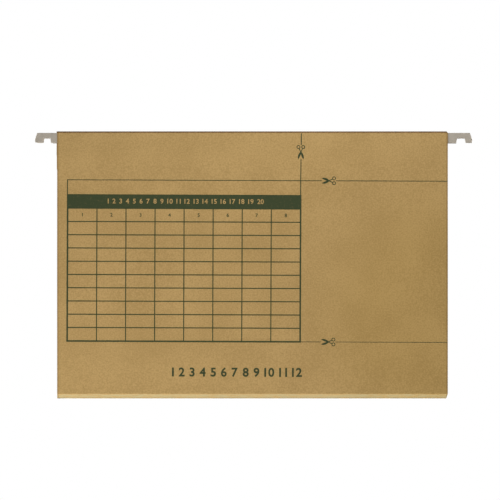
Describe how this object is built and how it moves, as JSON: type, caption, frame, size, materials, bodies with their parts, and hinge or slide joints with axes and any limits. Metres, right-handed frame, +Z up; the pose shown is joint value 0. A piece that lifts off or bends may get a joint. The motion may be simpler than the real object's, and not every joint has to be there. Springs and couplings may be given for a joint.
{
  "type": "hanging file folder",
  "caption": "Kraft card hanging file folder with a rolled hem along each top edge, a hooked flat steel bar in each hem and a scored strip bottom that folds.",
  "frame": {"origin": "midway between the two drawer rails and midway between the two leaves, level with the rail seats under the hooks", "axes": "+X along the bars, to the right as seen from the front; the front leaf faces -Y; +Z up, as the folder hangs"},
  "size_m": [0.413, 0.0164, 0.2521],
  "materials": {
    "kraft_card": "matte",
    "bar_steel": "satin",
    "glue": "satin"
  },
  "bodies": {
    "back_hanger": {"back_bar": "bar_steel"},
    "back_leaf": {"back_panel": "kraft_card", "back_hem_roll": "kraft_card", "back_hem_wall": "kraft_card", "back_hem_slope": "kraft_card", "back_hem_flap": "kraft_card", "back_hem_glue": "glue"},
    "back_strip": {"back_bottom_strip": "kraft_card"},
    "front_strip": {"front_bottom_strip": "kraft_card"},
    "front_leaf": {"front_panel": "kraft_card", "front_hem_roll": "kraft_card", "front_hem_wall": "kraft_card", "front_hem_slope": "kraft_card", "front_hem_flap": "kraft_card", "front_hem_glue": "glue"},
    "front_hanger": {"front_bar": "bar_steel"}
  },
  "joints": [
    {"name": "back_bar_slide", "type": "slide", "parent": "back_hanger", "child": "back_leaf", "axis": [1, 0, 0], "range_m": [-0.0035, 0.0075]},
    {"name": "back_crease", "type": "hinge", "parent": "back_leaf", "child": "back_strip", "pos_m": [0, 0.00797, -0.2409], "axis": [1, 0, 0], "range_deg": [0, 60]},
    {"name": "bottom_fold", "type": "hinge", "parent": "back_strip", "child": "front_strip", "pos_m": [0, 0, -0.2455], "axis": [1, 0, 0], "range_deg": [0, 60]},
    {"name": "front_crease", "type": "hinge", "parent": "front_strip", "child": "front_leaf", "pos_m": [0, -0.00797, -0.2409], "axis": [1, 0, 0], "range_deg": [-2, 60]},
    {"name": "front_bar_slide", "type": "slide", "parent": "front_leaf", "child": "front_hanger", "axis": [1, 0, 0], "range_m": [-0.007, 0.0045]}
  ]
}
